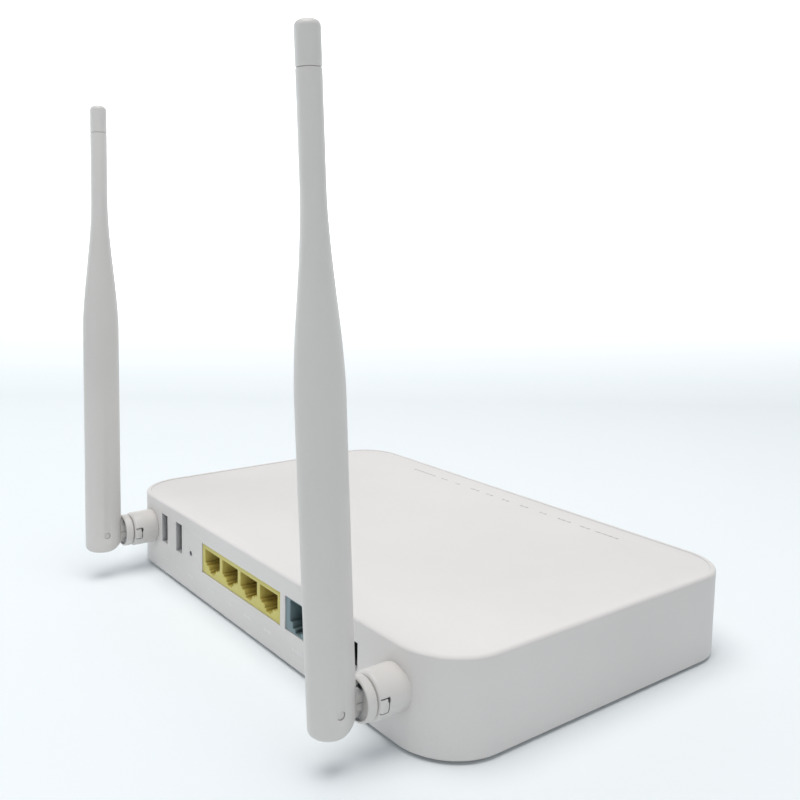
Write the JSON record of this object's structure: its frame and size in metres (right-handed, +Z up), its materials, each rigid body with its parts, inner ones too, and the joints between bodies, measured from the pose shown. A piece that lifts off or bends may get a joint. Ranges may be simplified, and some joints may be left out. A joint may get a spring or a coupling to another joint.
{
  "type": "optical network terminal",
  "caption": "Low rounded white network terminal with hinged aerials on its rear panel, network, phone, USB and power sockets, and an optical socket with a dust cap on one end.",
  "frame": {"origin": "on the surface it stands on, under the middle of the housing", "axes": "+Z up, +Y out of the rear socket panel, -Y towards the status light edge, +X towards the end wall with the optical socket"},
  "size_m": [0.2185, 0.1707, 0.1958],
  "materials": {
    "white_housing": "fine matte moulded ABS, warm white",
    "aerial_plastic": "satin moulded ABS, white",
    "foot_rubber": "matte dark grey rubber",
    "screw_steel": "zinc plated steel",
    "label_film": "blank printed film",
    "board_laminate": "green solder mask on glass laminate",
    "chip_package": "black moulded package",
    "thermal_pad": "soft grey-blue pad",
    "heatsink_aluminium": "extruded, anodised aluminium",
    "tinned_steel": "tin plated sheet",
    "module_steel": "nickel plated housing",
    "capacitor_sleeve": "shrink sleeve on aluminium can",
    "inductor_ferrite": "moulded ferrite",
    "light_package": "light emitting diode package",
    "clear_plastic": "clear polycarbonate",
    "yellow_plastic": "pale yellow moulded plastic",
    "gold_contact": "gold plated contact",
    "grey_plastic": "blue-grey moulded plastic",
    "dark_plastic": "dark grey moulded plastic",
    "black_plastic": "black moulded plastic",
    "button_plastic": "white moulded plastic",
    "reset_plastic": "dark moulded plastic",
    "green_plastic": "green moulded plastic",
    "cap_plastic": "pale soft plastic",
    "lead_jacket": "fine coaxial lead",
    "radiator_brass": "brass sleeve and wire"
  },
  "bodies": {
    "housing": {"top_cover": "white_housing", "base_cover": "white_housing", "rubber_feet": "foot_rubber", "cover_screws": "screw_steel", "blank_label": "label_film", "main_board": "board_laminate", "board_screws": "screw_steel", "main_chip": "chip_package", "thermal_pad": "thermal_pad", "heatsink": "heatsink_aluminium", "memory_chips": "chip_package", "radio_chip": "chip_package", "radio_shield_can": "tinned_steel", "optical_shield_can": "tinned_steel", "lan_transformers": "chip_package", "capacitors": "capacitor_sleeve", "inductors": "inductor_ferrite", "status_lights": "light_package", "status_light_guide": "clear_plastic", "lan_jack_block": "yellow_plastic", "lan_jack_contacts": "gold_contact", "phone_jack": "grey_plastic", "phone_jack_contacts": "gold_contact", "usb_socket_1": "tinned_steel", "usb_socket_2": "tinned_steel", "usb_tongue_1": "dark_plastic", "usb_tongue_2": "dark_plastic", "usb_stands": "dark_plastic", "usb_contacts": "gold_contact", "power_jack": "black_plastic", "power_jack_pin": "tinned_steel", "power_jack_spring": "tinned_steel", "power_switch": "black_plastic", "reset_switch": "black_plastic", "optical_socket": "green_plastic", "optical_module": "module_steel", "left_aerial_connector": "gold_contact", "left_aerial_lead": "lead_jacket", "left_aerial_socket": "aerial_plastic", "right_aerial_connector": "gold_contact", "right_aerial_lead": "lead_jacket", "right_aerial_socket": "aerial_plastic"},
    "left_swivel": {"left_aerial_swivel": "aerial_plastic"},
    "left_aerial": {"left_aerial_blade": "aerial_plastic", "left_aerial_cap": "aerial_plastic", "left_hinge_pin": "aerial_plastic", "left_aerial_radiator": "radiator_brass"},
    "right_swivel": {"right_aerial_swivel": "aerial_plastic"},
    "right_aerial": {"right_aerial_blade": "aerial_plastic", "right_aerial_cap": "aerial_plastic", "right_hinge_pin": "aerial_plastic", "right_aerial_radiator": "radiator_brass"},
    "power_button": {"power_button": "button_plastic"},
    "reset_plunger": {"reset_plunger": "reset_plastic"},
    "dust_cap": {"optical_dust_cap": "cap_plastic"}
  },
  "joints": [
    {"name": "left_aerial_turn", "type": "hinge", "parent": "housing", "child": "left_swivel", "pos_m": [-0.0838, 0.0775, 0.018], "axis": [0, 1, 0], "range_deg": [-90, 60]},
    {"name": "left_aerial_tilt", "type": "hinge", "parent": "left_swivel", "child": "left_aerial", "pos_m": [-0.0838, 0.0895, 0.018], "axis": [-1, 0, 0], "range_deg": [-5.7, 86.8]},
    {"name": "right_aerial_turn", "type": "hinge", "parent": "housing", "child": "right_swivel", "pos_m": [0.0838, 0.0775, 0.018], "axis": [0, 1, 0], "range_deg": [-65.3, 84.7]},
    {"name": "right_aerial_tilt", "type": "hinge", "parent": "right_swivel", "child": "right_aerial", "pos_m": [0.0838, 0.0895, 0.018], "axis": [-0.9957, 0, 0.0924], "range_deg": [-0.45, 92.05]},
    {"name": "power_button_press", "type": "slide", "parent": "housing", "child": "power_button", "axis": [0, -1, 0], "range_m": [0, 0.0018], "stiffness_N_per_m": 400, "springref_m": -0.001},
    {"name": "reset_press", "type": "slide", "parent": "housing", "child": "reset_plunger", "axis": [0, -1, 0], "range_m": [0, 0.0004], "stiffness_N_per_m": 1200, "springref_m": -0.0003},
    {"name": "dust_cap_pull", "type": "slide", "parent": "housing", "child": "dust_cap", "axis": [1, 0, 0], "range_m": [0, 0.0165]}
  ]
}
